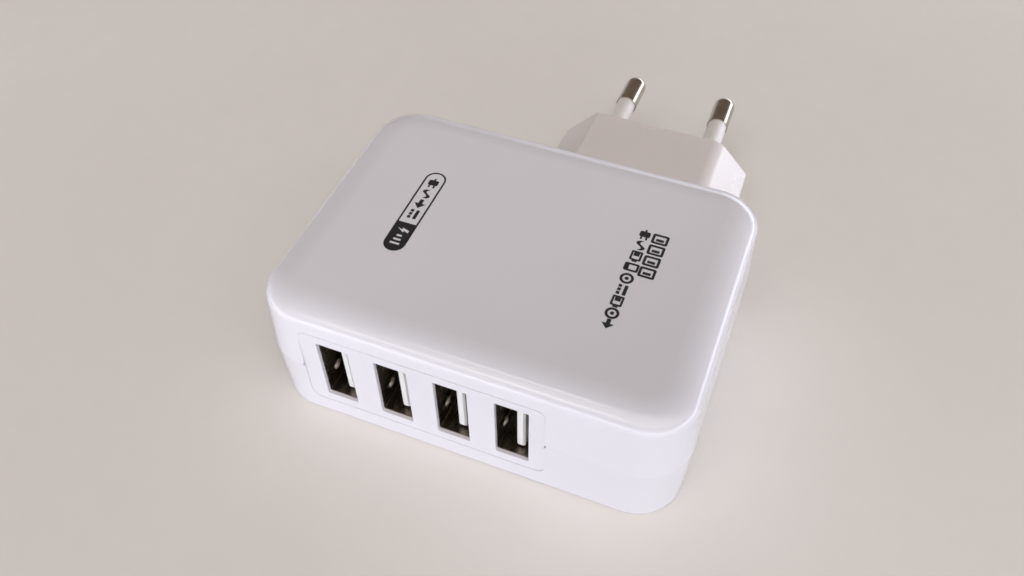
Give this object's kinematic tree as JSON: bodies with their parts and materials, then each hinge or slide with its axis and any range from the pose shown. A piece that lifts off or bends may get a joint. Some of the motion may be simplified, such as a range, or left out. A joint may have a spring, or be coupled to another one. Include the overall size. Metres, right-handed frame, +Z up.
{
  "type": "usb wall charger",
  "caption": "Flat rounded-box USB wall charger with a row of upright USB-A ports in the front and a fixed hexagonal Europlug at the rear.",
  "frame": {"origin": "under the middle of the overall box, on the surface the charger lies on", "axes": "+Z up from the flat lower half, +Y from the port face towards the plug pins, +X to the right seen from the port side"},
  "size_m": [0.0684, 0.0864, 0.0243],
  "materials": {
    "case_white": "smooth gloss injection moulding",
    "plug_white": "satin warm white moulding",
    "nickel": "polished nickel plate",
    "sleeve_white": "satin insulating sleeve",
    "shell_steel": "bright tin plate",
    "tongue_white": "fine satin",
    "contact_gold": "gold flash",
    "board_green": "solder mask over glass epoxy",
    "lead_brown": "extruded insulation",
    "lead_blue": "extruded insulation",
    "can_sleeve": "shrink sleeve on an aluminium can",
    "ferrite": "sintered ferrite",
    "copper_wire": "enamelled copper",
    "tape_yellow": "polyester tape",
    "chip_black": "moulded epoxy",
    "ceramic_blue": "dipped ceramic",
    "bobbin_black": "moulded phenolic",
    "barrier_film": "calendered film",
    "resistor_body": "lacquered ceramic",
    "tinned_wire": "tinned",
    "chip_tan": "fired ceramic",
    "print_ink": null
  },
  "bodies": {
    "root": {"upper_shell": "case_white", "lower_shell": "case_white", "port_panel": "case_white", "plug_stem": "plug_white", "pin_left": "nickel", "pin_right": "nickel", "pin_sleeve_left": "sleeve_white", "pin_sleeve_right": "sleeve_white", "live_lead": "lead_brown", "neutral_lead": "lead_blue", "usb_shell_1": "shell_steel", "usb_tongue_1": "tongue_white", "usb_contacts_1": "contact_gold", "usb_shell_2": "shell_steel", "usb_tongue_2": "tongue_white", "usb_contacts_2": "contact_gold", "usb_shell_3": "shell_steel", "usb_tongue_3": "tongue_white", "usb_contacts_3": "contact_gold", "usb_shell_4": "shell_steel", "usb_tongue_4": "tongue_white", "usb_contacts_4": "contact_gold", "fuse_resistor": "resistor_body", "bridge_rectifier": "chip_black", "bulk_capacitor_1": "can_sleeve", "bulk_capacitor_2": "can_sleeve", "choke_core": "ferrite", "choke_coil": "copper_wire", "controller_ic": "chip_black", "optocoupler": "chip_black", "y_capacitor": "ceramic_blue", "transformer_core_front": "ferrite", "transformer_core_rear": "ferrite", "transformer_bobbin": "bobbin_black", "transformer_winding": "tape_yellow", "transformer_tape": "tape_yellow", "transformer_pins": "tinned_wire", "output_rectifier": "chip_black", "output_capacitor_1": "can_sleeve", "output_capacitor_2": "can_sleeve", "chip_resistors": "chip_black", "chip_capacitors": "chip_tan", "insulation_barrier": "barrier_film", "main_board": "board_green"}
  },
  "joints": []
}
